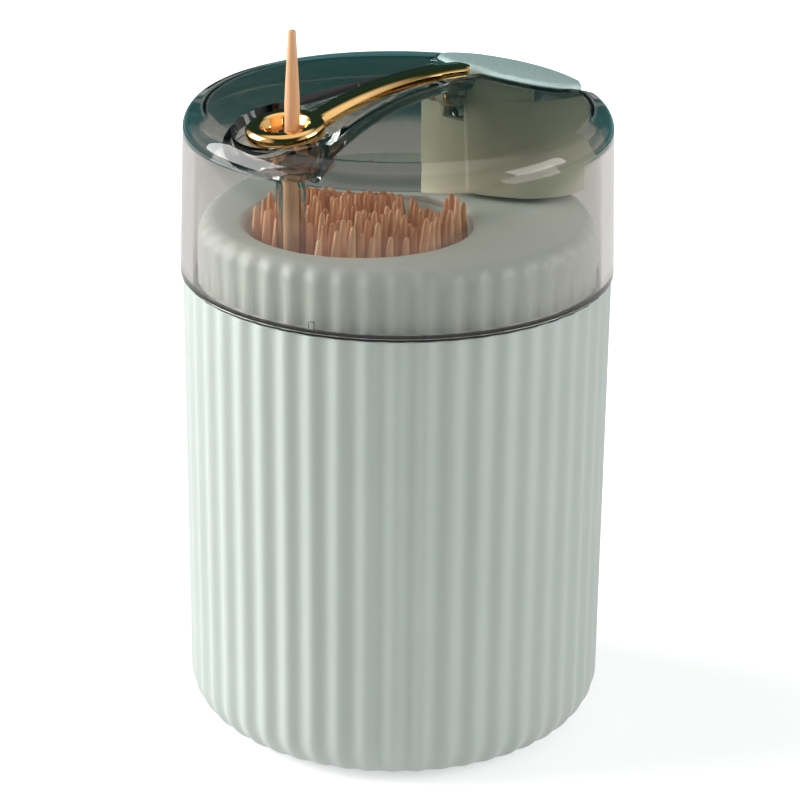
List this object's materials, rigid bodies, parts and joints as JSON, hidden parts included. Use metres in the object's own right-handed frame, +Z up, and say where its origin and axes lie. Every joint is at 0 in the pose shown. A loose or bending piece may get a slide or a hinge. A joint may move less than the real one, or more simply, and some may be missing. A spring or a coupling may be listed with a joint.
{
  "type": "toothpick dispenser",
  "caption": "Fluted round box with a clear domed lid whose rocking lever serves a toothpick through a ring when the button is pressed.",
  "frame": {"origin": "centre of the foot ring's bearing face, on the surface that the box stands on", "axes": "+Z up along the box's axis; -Y faces the viewer of the picture; the lever's ring lies towards -X -Y and the button towards +X +Y"},
  "size_m": [0.07, 0.07, 0.1207],
  "materials": {
    "mint_plastic": "fine satin, soft vertical flutes",
    "mint_tray": "satin",
    "soft_rubber": "matte",
    "clear_seal": "translucent",
    "birch": "smooth round sticks",
    "clear_lid": "clear, polished",
    "steel": "bright",
    "pale_plastic": "satin",
    "button_plastic": "satin gloss",
    "gold_plating": "polished plating"
  },
  "bodies": {
    "cup": {"cup_shell": "mint_plastic", "foot_ring": "soft_rubber", "inner_tray": "mint_tray", "toothpick_well": "mint_tray", "seal_ring": "clear_seal", "toothpicks": "birch", "turned_toothpicks": "birch"},
    "lid": {"lid_cover": "clear_lid", "outlet_tube": "clear_lid", "pivot_bracket": "clear_lid", "pivot_pin": "steel", "button_housing": "pale_plastic", "housing_screws": "steel", "return_spring": "steel"},
    "lever": {"lever_arm": "gold_plating", "outlet_ring": "gold_plating", "lever_tail": "pale_plastic", "push_button": "button_plastic"},
    "served": {"served_toothpick": "birch"}
  },
  "joints": [
    {"name": "lid_lift", "type": "slide", "parent": "cup", "child": "lid", "axis": [0, 0, 1], "range_m": [0, 0.045]},
    {"name": "lever_press", "type": "hinge", "parent": "lid", "child": "lever", "pos_m": [0.00719, 0.00695, 0.103], "axis": [-0.6947, 0.7193, 0], "range_deg": [0, 8], "stiffness_Nm_per_rad": 0.15, "springref_deg": -4.58, "deforming": ["return_spring"]},
    {"name": "served_rise", "type": "slide", "parent": "lid", "child": "served", "axis": [0, 0, 1], "range_m": [0, 0.005]}
  ],
  "couplings": [
    {"joint": "served_rise", "follows": "lever_press", "m_per_rad": 0.0328}
  ]
}
